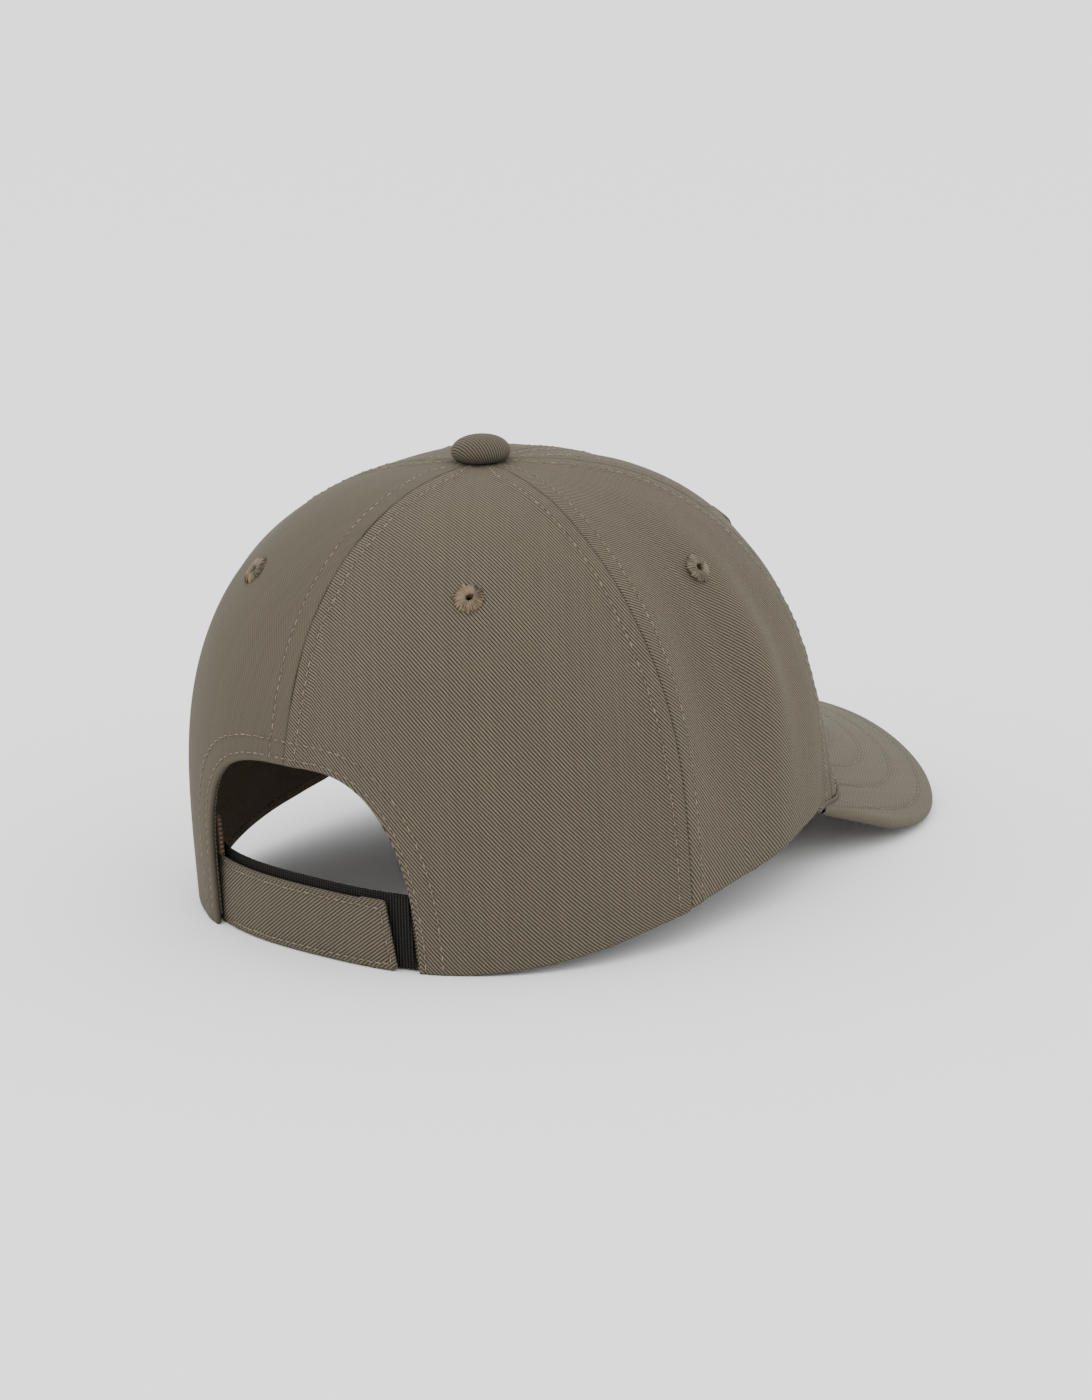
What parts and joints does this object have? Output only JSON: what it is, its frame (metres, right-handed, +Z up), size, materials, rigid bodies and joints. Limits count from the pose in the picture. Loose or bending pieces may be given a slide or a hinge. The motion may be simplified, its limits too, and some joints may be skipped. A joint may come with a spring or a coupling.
{
  "type": "baseball cap",
  "caption": "Baseball cap with a sewn gore crown, curved stiff visor, covered top button, and a rear arch closed by a hook-and-loop strap.",
  "frame": {"origin": "under the middle of the whole cap, on the surface that it stands on", "axes": "+Z up; +Y from the visor to the rear strap; +X to the wearer's left"},
  "size_m": [0.1756, 0.2528, 0.1414],
  "materials": {
    "twill": "taupe cotton twill",
    "sweatband_twill": "brown cotton twill",
    "buckram": "stiff woven lining",
    "seam_tape": "black woven tape",
    "eyelet_thread": "tan polyester thread",
    "hook_and_loop": "black hook-and-loop tape",
    "visor_board": "moulded sheet",
    "button_metal": "pressed sheet"
  },
  "bodies": {
    "crown": {"panel_back_right": "twill", "panel_back_left": "twill", "panel_side_right": "twill", "panel_side_left": "twill", "panel_front_right": "twill", "panel_front_left": "twill", "buckram_front_right": "buckram", "buckram_front_left": "buckram", "tape_centre": "seam_tape", "tape_front_right": "seam_tape", "tape_front_left": "seam_tape", "tape_rear_right": "seam_tape", "tape_rear_left": "seam_tape", "eyelet_back_right": "eyelet_thread", "eyelet_back_left": "eyelet_thread", "eyelet_side_right": "eyelet_thread", "eyelet_side_left": "eyelet_thread", "eyelet_front_right": "eyelet_thread", "eyelet_front_left": "eyelet_thread", "button_cover": "twill", "button_shell": "button_metal", "button_washer": "button_metal", "sweatband": "sweatband_twill", "arch_facing": "twill", "visor_top_cover": "twill", "visor_board": "visor_board", "visor_bottom_cover": "twill"},
    "closure_strap": {"outer_strap": "twill", "hook_tape": "hook_and_loop"},
    "under_strap": {"inner_strap": "twill", "loop_tape": "hook_and_loop"}
  },
  "joints": [
    {"name": "closure_strap_peel", "type": "hinge", "parent": "crown", "child": "closure_strap", "pos_m": [0.0426, 0.11492, 0], "axis": [0, 0, -1], "range_deg": [0, 80]},
    {"name": "under_strap_fold", "type": "hinge", "parent": "crown", "child": "under_strap", "pos_m": [-0.04083, 0.11601, 0], "axis": [0, 0, -1], "range_deg": [0, 55]}
  ]
}
